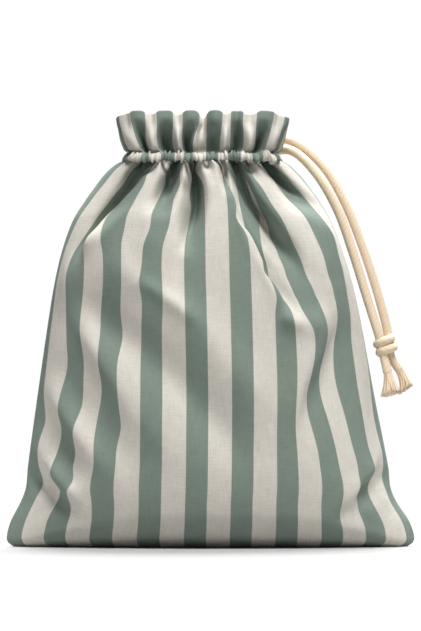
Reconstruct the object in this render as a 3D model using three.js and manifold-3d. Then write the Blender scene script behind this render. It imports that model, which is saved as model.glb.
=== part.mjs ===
// Drawstring gift pouch of striped cotton, standing filled out and drawn closed.
// Two panels are sewn together at both sides and along the base. A gathered casing rings the neck and
// the cloth above it stands up as a frill. Both ends of a twisted cotton drawcord leave the casing at
// the back, hang over the right shoulder and are knotted together above two frayed tips.
// Millimetres, +Z up, the front faces -Y. The origin is the middle of the base, on the surface it
// stands on.

import * as THREE from "three";
import { mergeVertices } from "three/addons/utils/BufferGeometryUtils.js";
import Module from "manifold-3d";

const wasm = await Module();
wasm.setup();

// Cloth
const PANEL_WIDTH = 250; // flat, from side seam to side seam
const HALF_PANEL = PANEL_WIDTH / 2;
const BODY_CLOTH = 288; // flat, from the base seam up to the neck
const CLOTH_THICKNESS = 1.5;
const PIECE_GAP = 0.3;
const STRIPE_PITCH = 27.4; // one dark and one pale stripe
const PALE_STRIPE_ACROSS = 2.2; // middle of the pale stripe nearest the panel's middle
const BASE_BEND_RADIUS = 15; // how softly the base turns up into the wall
const STEEPEST_SLOPE = 0.96; // of a fold's side, as rise over cloth
const LEAST_COVER = 0.2; // the least width that a millimetre of folded cloth covers
const INNERMOST = { most: 3, share: 0.3 }; // how near to the seams' plane a fold may reach

// Neck and frill
const NECK_HEIGHT = 234;
const FRILL_FOOT = 242.6;
const FRILL_DIP = 2.2; // how much lower the frill's edge is between two crests
const NECK_OVAL = { power: 4, ratio: 0.44, steps: 240 }; // the neck's squarish section

// Casing
const CASING = {
  middle: -4.75,
  height: 238.6,
  halfWidth: 45.4,
  halfDepth: 19.3,
  halfHeight: 3.6,
  halfThickness: 2.3,
  puckers: 48,
  puckerRelief: 1,
};
const CORD_SLOT = { share: 0.74, halfLength: 8.5, radius: 3.5, out: 3.8 };

// Drawcord
const CORD_DIAMETER = 5.6;
const CORD_SIDES = 9;
const CORD_STEP = 2.3;
const CORD_TWIST = { strands: 3, turn: 25, relief: 0.07 };
const KNOT = {
  x: 107.4,
  y: 0.6,
  z: 123.4,
  turns: 2.1,
  pitch: 5.5,
  ringX: 4.7,
  ringY: 3.5,
  cord: 5.2,
  tilt: 0.16,
};
const FRAY = {
  strands: 19,
  headLength: 3,
  length: 12.5,
  rootRadius: 2.3,
  flare: 2.15,
  strandRadius: 0.6,
  bow: 0.5,
};

// Sections of the standing pouch, one row for each height.
// left, right: where its outline is; middle: where the middle pale stripe is; depth: from the seams to
// the front; square, round: powers of the section; slack: how far out the spare cloth is taken up.
const SECTIONS = [
  { height: 0, left: -119.5, right: 119.5, middle: 4.6, depth: 33, square: 2.3, round: 1, slack: 1 },
  { height: 5.5, left: -125, right: 125, middle: 4.4, depth: 35.5, square: 2.3, round: 1, slack: 1 },
  { height: 15, left: -122.6, right: 122, middle: 4.8, depth: 39, square: 2.3, round: 1, slack: 1.5 },
  { height: 27, left: -116.5, right: 114.2, middle: 5, depth: 42, square: 2.3, round: 0.97, slack: 2 },
  { height: 36, left: -113.2, right: 110.4, middle: 5.4, depth: 43.5, square: 2.3, round: 0.94, slack: 2 },
  { height: 49, left: -112, right: 109, middle: 5.6, depth: 45, square: 2.3, round: 0.92, slack: 2 },
  { height: 90, left: -106.5, right: 101, middle: 5.8, depth: 47, square: 2.3, round: 0.9, slack: 2 },
  { height: 139, left: -99.5, right: 92, middle: 5, depth: 46, square: 2.3, round: 0.85, slack: 2 },
  { height: 163, left: -95.5, right: 86.5, middle: 4.3, depth: 44, square: 2.3, round: 0.8, slack: 1.6 },
  { height: 182, left: -91, right: 80.5, middle: 4, depth: 41, square: 2.3, round: 0.74, slack: 1 },
  { height: 200, left: -84.5, right: 73.5, middle: 3.6, depth: 36.5, square: 2.3, round: 0.68, slack: 1 },
  { height: 212, left: -77, right: 66.5, middle: 3, depth: 32, square: 2.2, round: 0.63, slack: 1 },
  { height: 221, left: -69, right: 59, middle: 1.6, depth: 28, square: 2.2, round: 0.58, slack: 0.8 },
  { height: 228, left: -61.5, right: 52, middle: 0, depth: 24, square: 2.2, round: 0.55, slack: 0.5 },
  { height: 231.5, left: -52.5, right: 43, middle: -2, depth: 19, square: 2.2, round: 0.52, slack: 0.3 },
  { height: NECK_HEIGHT, left: -46, right: 36, middle: -4, depth: 15, square: 2.2, round: 0.5, slack: 0 },
];

// The neck and the frill above it, one row for each height. relief: of the waves that crest on the dark
// stripes; dip: share of the edge's dip between them.
const FRILL = [
  { height: 230, left: -46, right: 36.5, depth: 15, relief: 0.9, dip: 0 },
  { height: NECK_HEIGHT, left: -46, right: 36.5, depth: 15, relief: 0.9, dip: 0 },
  { height: FRILL_FOOT, left: -46, right: 36.5, depth: 15, relief: 0.9, dip: 0 },
  { height: 246, left: -49, right: 39.5, depth: 18, relief: 3, dip: 0.05 },
  { height: 251, left: -51.5, right: 42, depth: 20, relief: 5, dip: 0.2 },
  { height: 258, left: -53, right: 43.5, depth: 21.5, relief: 6, dip: 0.5 },
  { height: 268, left: -54.5, right: 45, depth: 23, relief: 6.4, dip: 1 },
];

// Folds in the cloth, one row each, by their two ends: millimetres of cloth across, and height.
// wide: to each side; deep: of its trough; roll: how far its left side stands out over the right one;
// tuck: cloth laid under; grow: share of the way from the foot to full strength, or 0 for a fold that
// fades out at both ends.
const FRONT_FOLDS = [
  { topAcross: -72, top: 236, footAcross: -98, foot: 158, wide: 11, deep: 9, roll: -5, tuck: 12, grow: 0.55 },
  { topAcross: -33, top: 236, footAcross: -31, foot: 196, wide: 6.5, deep: 8, roll: 0, tuck: 2, grow: 0.75 },
  { topAcross: -11, top: 236, footAcross: -13, foot: 165, wide: 7, deep: 9, roll: -1, tuck: 0, grow: 0.75 },
  { topAcross: 12, top: 236, footAcross: 58, foot: 128, wide: 9, deep: 5, roll: 6, tuck: 10, grow: 0.4 },
  { topAcross: 54, top: 236, footAcross: 58, foot: 165, wide: 9, deep: 12, roll: 1, tuck: 7, grow: 0.6 },
  { topAcross: 94, top: 236, footAcross: 95, foot: 202, wide: 7, deep: 7, roll: 0, tuck: 2, grow: 0.75 },
  { topAcross: -99, top: 236, footAcross: -101, foot: 204, wide: 6, deep: 5, roll: 0, tuck: 1, grow: 0.75 },
  { topAcross: 95, top: 156, footAcross: 44, foot: 52, wide: 15, deep: 1, roll: 3, tuck: 10, grow: 0 },
  { topAcross: -108, top: 160, footAcross: -44, foot: 56, wide: 13, deep: 1, roll: -2.5, tuck: 4, grow: 0 },
  { topAcross: -118, top: 104, footAcross: -72, foot: 38, wide: 12, deep: 1, roll: -2.5, tuck: 5, grow: 0 },
  { topAcross: -116, top: 62, footAcross: -80, foot: 12, wide: 11, deep: 1, roll: -3.5, tuck: 6, grow: 0 },
  { topAcross: 124, top: 64, footAcross: 66, foot: 8, wide: 11, deep: 1, roll: 3.5, tuck: 6, grow: 0 },
  { topAcross: -46, top: 190, footAcross: -24, foot: 124, wide: 10, deep: 3, roll: -1, tuck: 1, grow: 0 },
];
const BACK_FOLDS = [
  { topAcross: -96, top: 236, footAcross: -102, foot: 186, wide: 9, deep: 9, roll: 2, tuck: 4, grow: 0.7 },
  { topAcross: -62, top: 236, footAcross: -78, foot: 156, wide: 10, deep: 11, roll: -4, tuck: 9, grow: 0.5 },
  { topAcross: -24, top: 236, footAcross: -28, foot: 184, wide: 7, deep: 9, roll: 1, tuck: 2, grow: 0.75 },
  { topAcross: 8, top: 236, footAcross: 5, foot: 196, wide: 7, deep: 8, roll: 0, tuck: 2, grow: 0.75 },
  { topAcross: 38, top: 236, footAcross: 52, foot: 152, wide: 9, deep: 10, roll: 4, tuck: 9, grow: 0.5 },
  { topAcross: 80, top: 236, footAcross: 94, foot: 176, wide: 10, deep: 10, roll: -2, tuck: 5, grow: 0.6 },
  { topAcross: -112, top: 148, footAcross: -66, foot: 70, wide: 13, deep: 1, roll: -2.5, tuck: 5, grow: 0 },
  { topAcross: -118, top: 70, footAcross: -80, foot: 14, wide: 11, deep: 1, roll: -3.5, tuck: 6, grow: 0 },
  { topAcross: 114, top: 140, footAcross: 70, foot: 62, wide: 13, deep: 1, roll: 3, tuck: 6, grow: 0 },
  { topAcross: 118, top: 66, footAcross: 82, foot: 12, wide: 11, deep: 1, roll: 3.5, tuck: 6, grow: 0 },
];

// The panel's grid. Its rows are shares of the way: over the flat base, round the bend at its edge, and
// up the wall; those above the neck are millimetres of cloth. Its columns keep step with the stripes.
const BASE_SHARES = [0, 0.5];
const BEND_SHARES = [-1, -0.33, 0.33, 1];
const WALL_SHARES = [0.06, 0.13, 0.21, 0.3, 0.4, 0.5, 0.6, 0.69, 0.77, 0.84, 0.89, 0.93, 0.965];
const NECK_ROWS = [0, 4.5, 8.8, 12.5, 17.5, 25, 33];
const COLUMNS_PER_STRIPE = 5;
const EAR_CLOTH = 10; // the least cloth that the rows of the base keep, at its two corners

// Routes of the two cord ends from the casing to the knot, and of the two tails below it.
const OUTER_ROUTE = [
  { x: 19.2, y: 22.7, z: 238.6 },
  { x: 30, y: 27.6, z: 246 },
  { x: 42.5, y: 25.8, z: 252.2 },
  { x: 54.6, y: 18.8, z: 248.4 },
  { x: 70.8, y: 12, z: 232.9 },
  { x: 82.4, y: 7.8, z: 212.6 },
  { x: 92.4, y: 5.2, z: 187.5 },
  { x: 102.4, y: 3.4, z: 156.8 },
  { x: 108.9, y: 3.1, z: 131.4 },
];
const INNER_ROUTE = [
  { x: 27.8, y: 22.1, z: 238.6 },
  { x: 35.2, y: 23.9, z: 241.3 },
  { x: 44.2, y: 21, z: 245 },
  { x: 52.4, y: 14.4, z: 242.9 },
  { x: 66, y: 7.4, z: 228.3 },
  { x: 78.2, y: 4, z: 206.6 },
  { x: 87.7, y: 1.9, z: 179.8 },
  { x: 96.1, y: -0.1, z: 152.4 },
  { x: 102.6, y: -1.8, z: 131.4 },
];
const LEFT_TAIL = [
  { x: 106.6, y: -1.6, z: 115.6 },
  { x: 107.9, y: -2.5, z: 109.6 },
  { x: 108.9, y: -3, z: 104.9 },
];
const RIGHT_TAIL = [
  { x: 110.8, y: 2.4, z: 116.1 },
  { x: 114, y: 2.7, z: 111.3 },
  { x: 116.7, y: 2.8, z: 107.2 },
];

const COLOURS = { cloth: 0x9aa79d, casing: 0xa9b0a4, cord: 0xe6d3b7 };

const clamp = THREE.MathUtils.clamp;
const easeBetween = (value, low, high) => THREE.MathUtils.smoothstep(value, low, high);

// A column of a table at a height, joined smoothly from row to row.
function columnAt(table, column, height) {
  const last = table.length - 1;
  if (height <= table[0].height) return table[0][column];
  if (height >= table[last].height) return table[last][column];
  const i = table.findIndex((row) => row.height > height) - 1;
  const slope = (k) => {
    const a = table[Math.max(k - 1, 0)];
    const b = table[Math.min(k + 1, last)];
    return (b[column] - a[column]) / (b.height - a.height);
  };
  const from = table[i];
  const to = table[i + 1];
  const span = to.height - from.height;
  const s = (height - from.height) / span;
  const ease = s * s * (3 - 2 * s);
  const start = s * (1 - s) * (1 - s) * slope(i) * span;
  const end = s * s * (1 - s) * slope(i + 1) * span;
  return from[column] + (to[column] - from[column]) * ease + start - end;
}

// Depth of the plain section at a place across the cloth, with no folds in it.
function plainDepth(across, height) {
  const share = Math.min(Math.abs(across) / HALF_PANEL, 1);
  const square = columnAt(SECTIONS, "square", height);
  const round = columnAt(SECTIONS, "round", height);
  return columnAt(SECTIONS, "depth", height) * Math.pow(1 - Math.pow(share, square), round);
}

// Where a place is in a fold: how far off its middle, in its half widths, and how strong it is there.
function inFold(fold, across, height) {
  const s = (height - fold.foot) / (fold.top - fold.foot);
  if (s <= 0 || (s >= 1 && !fold.grow)) return { off: 0, strength: 0 };
  const along = clamp(s, 0, 1);
  const middle = fold.footAcross + (fold.topAcross - fold.footAcross) * along;
  const off = (across - middle) / fold.wide;
  const strength = fold.grow ? easeBetween(along, 0, fold.grow) : Math.sin(Math.PI * along) ** 2;
  return { off, strength: strength * Math.exp(-off * off) };
}

// How free the cloth is to fold: not at the seams, on the floor or in the neck's grip.
function freedom(across, height) {
  const seam = 1 - Math.pow(Math.abs(across) / HALF_PANEL, 10);
  const grip = 1 - easeBetween(height, NECK_HEIGHT - 3, NECK_HEIGHT);
  return seam * grip * easeBetween(height, 0, 18);
}

// Depth of the folded cloth, held off the seams' plane.
function foldedDepth(across, height, folds) {
  const plain = plainDepth(across, height);
  const taken = folds.reduce((sum, fold) => {
    const { off, strength } = inFold(fold, across, height);
    return sum + strength * (fold.deep + 1.6 * off * fold.roll);
  }, 0);
  const least = Math.min(INNERMOST.most, INNERMOST.share * plain);
  const held = (depth) => 0.5 * (depth + least + Math.hypot(depth - least, least));
  return plain + held(plain - taken * freedom(across, height)) - held(plain);
}

// Cloth laid under by the folds at a place, as a share of it.
function tucked(across, height, folds) {
  const share = folds.reduce((sum, fold) => {
    const { strength } = inFold(fold, across, height);
    return sum + (strength * fold.tuck) / (fold.wide * Math.sqrt(Math.PI));
  }, 0);
  return share * freedom(across, height);
}

// Width that the cloth has covered up to each place across: steep and tucked cloth covers less of it.
const SAMPLES = 200;
const coverings = new Map();
function covering(height, folds) {
  const key = folds === FRONT_FOLDS ? height : -1 - height;
  if (!coverings.has(key)) {
    const step = PANEL_WIDTH / SAMPLES;
    const covered = [0];
    for (let i = 0; i < SAMPLES; i++) {
      const from = -HALF_PANEL + i * step;
      const rise = foldedDepth(from + step, height, folds) - foldedDepth(from, height, folds);
      const slope = clamp(Math.abs(rise) / step, 0, STEEPEST_SLOPE);
      const cover = Math.sqrt(1 - slope * slope) - tucked(from + step / 2, height, folds);
      covered.push(covered[i] + step * Math.max(cover, LEAST_COVER));
    }
    coverings.set(key, covered);
  }
  return coverings.get(key);
}

// Where the cloth lies from side to side: its middle pale stripe has a set place, and the spare cloth on
// each side of it is taken up towards the outline.
function sideways(across, height, folds) {
  const covered = covering(height, folds);
  const coverTo = (place) => {
    const at = clamp(((place + HALF_PANEL) / PANEL_WIDTH) * SAMPLES, 0, SAMPLES - 1e-6);
    const i = Math.floor(at);
    return covered[i] + (covered[i + 1] - covered[i]) * (at - i);
  };
  const middle = columnAt(SECTIONS, "middle", height);
  const toMiddle = coverTo(PALE_STRIPE_ACROSS);
  const run = coverTo(across) - toMiddle;
  const reach = run > 0 ? covered[SAMPLES] - toMiddle : toMiddle;
  const outline = columnAt(SECTIONS, run > 0 ? "right" : "left", height);
  const spare = Math.abs(outline - middle) / reach - 1;
  const most = spare < 0 ? Math.max(0.85 / -spare - 1, 0) : Infinity;
  const slack = Math.min(Math.max(columnAt(SECTIONS, "slack", height), 0), most);
  return middle + run * (1 + spare * Math.pow(Math.abs(run) / reach, slack));
}

// Half of the neck's squarish oval, with its half width and half depth as 1, and the way round it.
const neckHalf = (() => {
  const rows = [];
  let way = 0;
  for (let k = 0; k <= NECK_OVAL.steps; k++) {
    const angle = Math.PI * (1 - k / NECK_OVAL.steps);
    const x = Math.sign(Math.cos(angle)) * Math.abs(Math.cos(angle)) ** (2 / NECK_OVAL.power);
    const y = Math.max(Math.sin(angle), 0) ** (2 / NECK_OVAL.power);
    const last = rows.at(-1);
    if (last) way += Math.hypot(x - last.x, NECK_OVAL.ratio * (y - last.y));
    rows.push({ x, y, way });
  }
  return rows.map((row) => ({ x: row.x, y: row.y, share: row.way / way }));
})();

function neckPlace(share) {
  const i = clamp(neckHalf.findIndex((row) => row.share > share) - 1, 0, neckHalf.length - 2);
  const at = share >= 1 ? neckHalf.length - 2 : i;
  const from = neckHalf[at];
  const to = neckHalf[at + 1];
  const s = clamp((share - from.share) / (to.share - from.share), 0, 1);
  return { x: from.x + (to.x - from.x) * s, y: from.y + (to.y - from.y) * s };
}

// A place on half of an oval of this section, a distance out from it along its normal.
function onOval(share, middle, halfWidth, halfDepth, out) {
  const before = neckPlace(clamp(share - 0.005, 0, 1));
  const after = neckPlace(clamp(share + 0.005, 0, 1));
  const normal = new THREE.Vector2((before.y - after.y) * halfDepth, (after.x - before.x) * halfWidth);
  const place = neckPlace(share);
  const on = new THREE.Vector2(middle + halfWidth * place.x, halfDepth * place.y);
  return on.addScaledVector(normal.normalize(), out);
}

// Waves round the frill: broad crests on the dark stripes and narrow troughs on the pale ones.
function frillWave(across) {
  const phase = ((across - PALE_STRIPE_ACROSS) / STRIPE_PITCH) * 2 * Math.PI;
  return 0.1 - Math.cos(phase) - 0.22 * Math.cos(2 * phase);
}

// Middle of the cloth at a place: across from the panel's middle and up from the base seam, for the front.
function clothPoint(across, up, folds) {
  const baseReach = plainDepth(across, 0);
  const bend = Math.min(BASE_BEND_RADIUS, baseReach * 0.8) + 1e-6;
  const bendHalf = (bend * Math.PI) / 4;
  const past = up - baseReach;
  const turn = clamp((past + bendHalf) / (2 * bendHalf), 0, 1) * (Math.PI / 2);
  const rise = bend * (1 - Math.cos(turn)) + Math.max(past - bendHalf, 0);
  const inset = Math.min(past, -bendHalf) + bend * Math.sin(turn) - (bend - bendHalf);
  const wall = BODY_CLOTH - baseReach + bend - bendHalf;
  const height = up > BODY_CLOTH ? NECK_HEIGHT + up - BODY_CLOTH : (rise * NECK_HEIGHT) / wall;
  const inBody = Math.min(height, NECK_HEIGHT);
  const body = new THREE.Vector2(sideways(across, inBody, folds), foldedDepth(across, inBody, folds));
  body.y = Math.max(body.y + Math.min(inset, 0), 0);

  const left = columnAt(FRILL, "left", height);
  const right = columnAt(FRILL, "right", height);
  const seam = 1 - Math.pow(Math.abs(across) / HALF_PANEL, 16);
  const relief = columnAt(FRILL, "relief", height) * frillWave(across) * seam;
  const share = (across / HALF_PANEL + 1) / 2;
  const depth = columnAt(FRILL, "depth", height);
  const frill = onOval(share, (left + right) / 2, (right - left) / 2, depth, relief);
  frill.y = Math.max(frill.y, 0);

  const place = body.lerp(frill, easeBetween(height, NECK_HEIGHT - 1.5, FRILL_FOOT - 1));
  const valley = 0.5 + 0.5 * Math.cos(((across - PALE_STRIPE_ACROSS) / STRIPE_PITCH) * 2 * Math.PI);
  const dip = FRILL_DIP * columnAt(FRILL, "dip", height) * valley;
  return new THREE.Vector3(place.x, -place.y, height - dip + CLOTH_THICKNESS / 2);
}

// A closed sheet from a grid of middle points: both faces, half the thickness out from them, and its rim.
function sheetGeometry(grid, facing) {
  const rows = grid.length;
  const columns = grid[0].length;
  const half = CLOTH_THICKNESS / 2;
  const faces = [[], []];
  grid.forEach((row, j) =>
    row.forEach((point, i) => {
      const across = row[Math.min(i + 1, columns - 1)].clone().sub(row[Math.max(i - 1, 0)]);
      const up = grid[Math.min(j + 1, rows - 1)][i].clone().sub(grid[Math.max(j - 1, 0)][i]);
      const normal = across.cross(up).normalize().multiplyScalar(facing * half);
      if (point.z <= half + 1e-6) normal.set(0, 0, -half);
      const pair = [point.clone().add(normal), point.clone().sub(normal)];
      pair[0].z = Math.max(pair[0].z, 0);
      if (i === 0 || i === columns - 1 || j === 0) {
        const nearest = facing * Math.max(facing * pair[0].y, facing * pair[1].y);
        pair.forEach((p) => (p.y += -facing * (PIECE_GAP / 2) - nearest));
      }
      faces.forEach((face, side) => face.push(pair[side]));
    }),
  );
  const at = (side, i, j) => side * rows * columns + j * columns + i;
  const triangles = [];
  const quad = (a, b, c, d) => {
    triangles.push(...(facing > 0 ? [a, b, c, a, c, d] : [a, c, b, a, d, c]));
  };
  for (let j = 0; j < rows - 1; j++)
    for (let i = 0; i < columns - 1; i++) {
      quad(at(0, i, j), at(0, i + 1, j), at(0, i + 1, j + 1), at(0, i, j + 1));
      quad(at(1, i, j), at(1, i, j + 1), at(1, i + 1, j + 1), at(1, i + 1, j));
    }
  for (let i = 0; i < columns - 1; i++) {
    quad(at(1, i, 0), at(1, i + 1, 0), at(0, i + 1, 0), at(0, i, 0));
    quad(at(0, i, rows - 1), at(0, i + 1, rows - 1), at(1, i + 1, rows - 1), at(1, i, rows - 1));
  }
  for (let j = 0; j < rows - 1; j++) {
    const end = columns - 1;
    quad(at(0, 0, j), at(0, 0, j + 1), at(1, 0, j + 1), at(1, 0, j));
    quad(at(1, end, j), at(1, end, j + 1), at(0, end, j + 1), at(0, end, j));
  }
  const geometry = new THREE.BufferGeometry();
  const points = faces.flat().flatMap((p) => [p.x, p.y, p.z]);
  geometry.setAttribute("position", new THREE.Float32BufferAttribute(points, 3));
  geometry.setIndex(triangles);
  return geometry;
}

// Cloth heights of a column's rows.
function rowsAt(across) {
  const reach = Math.max(plainDepth(across, 0), EAR_CLOTH);
  const bend = Math.min(BASE_BEND_RADIUS, reach * 0.8);
  const bendHalf = (bend * Math.PI) / 4;
  const seam = bend - bendHalf;
  const wall = BODY_CLOTH - reach - bendHalf;
  return [
    ...BASE_SHARES.map((share) => seam + share * (reach - bendHalf - seam)),
    ...BEND_SHARES.map((share) => reach + share * bendHalf),
    ...WALL_SHARES.map((share) => reach + bendHalf + share * wall),
    ...NECK_ROWS.map((above) => BODY_CLOTH + above),
  ];
}

// Places of the columns across a panel.
function columnPlaces() {
  const step = STRIPE_PITCH / COLUMNS_PER_STRIPE;
  const first = Math.ceil((-HALF_PANEL + 0.4 * step - PALE_STRIPE_ACROSS) / step);
  const last = Math.floor((HALF_PANEL - 0.4 * step - PALE_STRIPE_ACROSS) / step);
  const inner = Array.from({ length: last - first + 1 }, (_, i) => PALE_STRIPE_ACROSS + (first + i) * step);
  return [-HALF_PANEL, ...inner, HALF_PANEL];
}

// One panel of the pouch. The back one is turned round to the other side of the seams.
function panel(name, folds, facing) {
  const columns = columnPlaces().map((across) =>
    rowsAt(across).map((up) => {
      const point = clothPoint(across, up, folds);
      point.y *= facing;
      return point;
    }),
  );
  const grid = columns[0].map((_, row) => columns.map((column) => column[row]));
  return piece(name, sheetGeometry(grid, facing), COLOURS.cloth);
}

// Solids that can be joined and cut, and back again.
function toSolid(geometry) {
  const bare = new THREE.BufferGeometry().setAttribute("position", geometry.getAttribute("position"));
  if (geometry.index) bare.setIndex(geometry.index);
  const merged = mergeVertices(bare, 1e-3);
  return new wasm.Manifold(
    new wasm.Mesh({
      numProp: 3,
      vertProperties: merged.attributes.position.array,
      triVerts: new Uint32Array(merged.index.array),
    }),
  );
}

function toGeometry(solid) {
  const mesh = solid.getMesh();
  const geometry = new THREE.BufferGeometry();
  geometry.setAttribute("position", new THREE.BufferAttribute(mesh.vertProperties, 3));
  geometry.setIndex(new THREE.BufferAttribute(mesh.triVerts, 1));
  return geometry;
}

function piece(name, geometry, color) {
  geometry.computeVertexNormals();
  const material = new THREE.MeshStandardMaterial({ color, roughness: 0.9, metalness: 0 });
  const mesh = new THREE.Mesh(geometry, material);
  mesh.name = name;
  return mesh;
}

// A place round the neck by an angle, a distance out from the casing's middle line.
function aroundNeck(angle, out, height) {
  const turn = ((angle / Math.PI) % 2 + 2) % 2;
  const share = turn <= 1 ? 1 - turn : turn - 1;
  const place = onOval(share, CASING.middle, CASING.halfWidth, CASING.halfDepth, out);
  return new THREE.Vector3(place.x, turn <= 1 ? place.y : -place.y, height);
}

// The casing: a ring of puckered cloth round the neck, with the slot that the cord ends come out of.
function casing() {
  const sides = 8;
  const columns = CASING.puckers * 2;
  const ring = new THREE.TorusGeometry(2, 1, sides, columns);
  const position = ring.getAttribute("position");
  for (let i = 0; i < position.count; i++) {
    const column = i % (columns + 1);
    const side = Math.floor(i / (columns + 1));
    const angle = ((column % columns) / columns) * 2 * Math.PI;
    const round = ((side % sides) / sides) * 2 * Math.PI;
    const crest = column % 2 ? -1 : 1;
    const uneven = Math.sin(3.7 * angle) * Math.cos(2.3 * angle + 0.6);
    const swell = CASING.puckerRelief * crest * (0.75 + 0.25 * uneven);
    const outer = Math.max(Math.cos(round), 0);
    const out = (CASING.halfThickness + swell * outer) * Math.cos(round) + 0.9 * outer;
    const height = CASING.height + (CASING.halfHeight + 0.5 * swell) * Math.sin(round);
    const point = aroundNeck(angle, out, height);
    position.setXYZ(i, point.x, point.y, point.z);
  }
  const straight = 2 * (CORD_SLOT.halfLength - CORD_SLOT.radius);
  const slot = new THREE.CapsuleGeometry(CORD_SLOT.radius, straight, 2, 8);
  const slotAngle = Math.PI * (1 - CORD_SLOT.share);
  const mouth = aroundNeck(slotAngle, CORD_SLOT.out, CASING.height);
  const along = aroundNeck(slotAngle - 0.1, 0, 0).sub(aroundNeck(slotAngle + 0.1, 0, 0)).normalize();
  slot.applyQuaternion(new THREE.Quaternion().setFromUnitVectors(new THREE.Vector3(0, 1, 0), along));
  slot.translate(mouth.x, mouth.y, mouth.z);
  return piece("casing", toGeometry(toSolid(ring).subtract(toSolid(slot))), COLOURS.casing);
}

// A rope along a curve: a round section whose strands stand out a little and turn along its length.
function ropeGeometry(curve, diameter, step, sides) {
  const length = curve.getLength();
  const steps = Math.round(length / step);
  const section = new THREE.Shape();
  for (let k = 0; k < sides; k++) {
    const angle = (k / sides) * 2 * Math.PI;
    const at = [(diameter / 2) * Math.cos(angle), (diameter / 2) * Math.sin(angle)];
    if (k) section.lineTo(...at);
    else section.moveTo(...at);
  }
  section.closePath();
  const along = { extrudePath: curve, steps, bevelEnabled: false, curveSegments: 1 };
  const rope = new THREE.ExtrudeGeometry(section, along);
  const middles = curve.getSpacedPoints(steps);
  const frames = curve.computeFrenetFrames(steps, false);
  const position = rope.getAttribute("position");
  for (let i = 0; i < position.count; i++) {
    const point = new THREE.Vector3().fromBufferAttribute(position, i);
    const distances = middles.map((middle) => middle.distanceToSquared(point));
    const k = distances.indexOf(Math.min(...distances));
    const out = point.clone().sub(middles[k]);
    const angle = Math.atan2(out.dot(frames.binormals[k]), out.dot(frames.normals[k]));
    const turn = (2 * Math.PI * ((k / steps) * length)) / CORD_TWIST.turn;
    const swell = 1 + CORD_TWIST.relief * Math.cos(CORD_TWIST.strands * (angle - turn));
    point.copy(middles[k]).addScaledVector(out, swell);
    position.setXYZ(i, point.x, point.y, point.z);
  }
  return rope;
}

const placeOf = (row) => new THREE.Vector3(row.x, row.y, row.z);
const curveThrough = (rows) => new THREE.CatmullRomCurve3(rows.map(placeOf));

function cord(name, route) {
  const rope = ropeGeometry(curveThrough(route), CORD_DIAMETER, CORD_STEP, CORD_SIDES);
  return piece(name, rope, COLOURS.cord);
}

// The knot: the doubled cord wound round itself, one solid of its turns and what they hold.
class KnotTurns extends THREE.Curve {
  getPoint(t, target = new THREE.Vector3()) {
    const angle = 2 * Math.PI * KNOT.turns * t - 0.5 * Math.PI;
    const across = KNOT.ringX * Math.cos(angle);
    const rise = KNOT.pitch * (0.5 - t) * (KNOT.turns - 1);
    return target.set(across, KNOT.ringY * Math.sin(angle), rise + across * KNOT.tilt);
  }
}

function knot() {
  const turns = toSolid(ropeGeometry(new KnotTurns(), KNOT.cord, 2, 8));
  const coreHeight = KNOT.pitch + KNOT.cord * 0.86;
  const core = new THREE.CylinderGeometry(1, 1, coreHeight, 16);
  core.rotateX(Math.PI / 2);
  core.scale(KNOT.ringX + 1, KNOT.ringY + 1, 1);
  const solid = turns.add(toSolid(core));
  const geometry = toGeometry(solid);
  geometry.translate(KNOT.x, KNOT.y, KNOT.z);
  return piece("knot", geometry, COLOURS.cord);
}

// A frayed tip: the cord's yarns spread out from a short head below the end of a tail.
function fray(name, tail) {
  const end = placeOf(tail.at(-1));
  const down = end.clone().sub(placeOf(tail.at(-2))).normalize();
  const head = new THREE.CylinderGeometry(CORD_DIAMETER / 2, FRAY.rootRadius + 0.3, FRAY.headLength, 12);
  head.translate(0, -FRAY.headLength / 2, 0);
  let solid = toSolid(head);
  const golden = Math.PI * (3 - Math.sqrt(5));
  for (let k = 0; k < FRAY.strands; k++) {
    const out = FRAY.rootRadius * Math.sqrt((k + 0.5) / FRAY.strands);
    const angle = golden * k;
    const length = FRAY.length - 1.2 * ((k * 7) % 5) / 4;
    const tip = FRAY.strandRadius * 0.75;
    const strand = new THREE.CylinderGeometry(FRAY.strandRadius, tip, length, 4, 2);
    strand.translate(0, -FRAY.headLength / 2 - length / 2, 0);
    const position = strand.getAttribute("position");
    for (let i = 0; i < position.count; i++) {
      const fall = clamp((-position.getY(i) - FRAY.headLength / 2) / FRAY.length, 0, 1);
      const spread = 1 + (FRAY.flare - 1) * (fall + FRAY.bow * fall * (1 - fall));
      position.setX(i, position.getX(i) + out * spread * Math.cos(angle));
      position.setZ(i, position.getZ(i) + out * spread * Math.sin(angle));
    }
    solid = solid.add(toSolid(strand));
  }
  const geometry = toGeometry(solid);
  const lean = new THREE.Quaternion().setFromUnitVectors(new THREE.Vector3(0, -1, 0), down);
  geometry.applyQuaternion(lean);
  const start = end.addScaledVector(down, PIECE_GAP);
  geometry.translate(start.x, start.y, start.z);
  return piece(name, geometry, COLOURS.cord);
}

const pouch = new THREE.Group();
pouch.add(
  panel("front_panel", FRONT_FOLDS, 1),
  panel("back_panel", BACK_FOLDS, -1),
  casing(),
  cord("cord_outer", OUTER_ROUTE),
  cord("cord_inner", INNER_ROUTE),
  knot(),
  cord("tail_left", LEFT_TAIL),
  cord("tail_right", RIGHT_TAIL),
  fray("fray_left", LEFT_TAIL),
  fray("fray_right", RIGHT_TAIL),
);

export default pouch;
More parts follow.
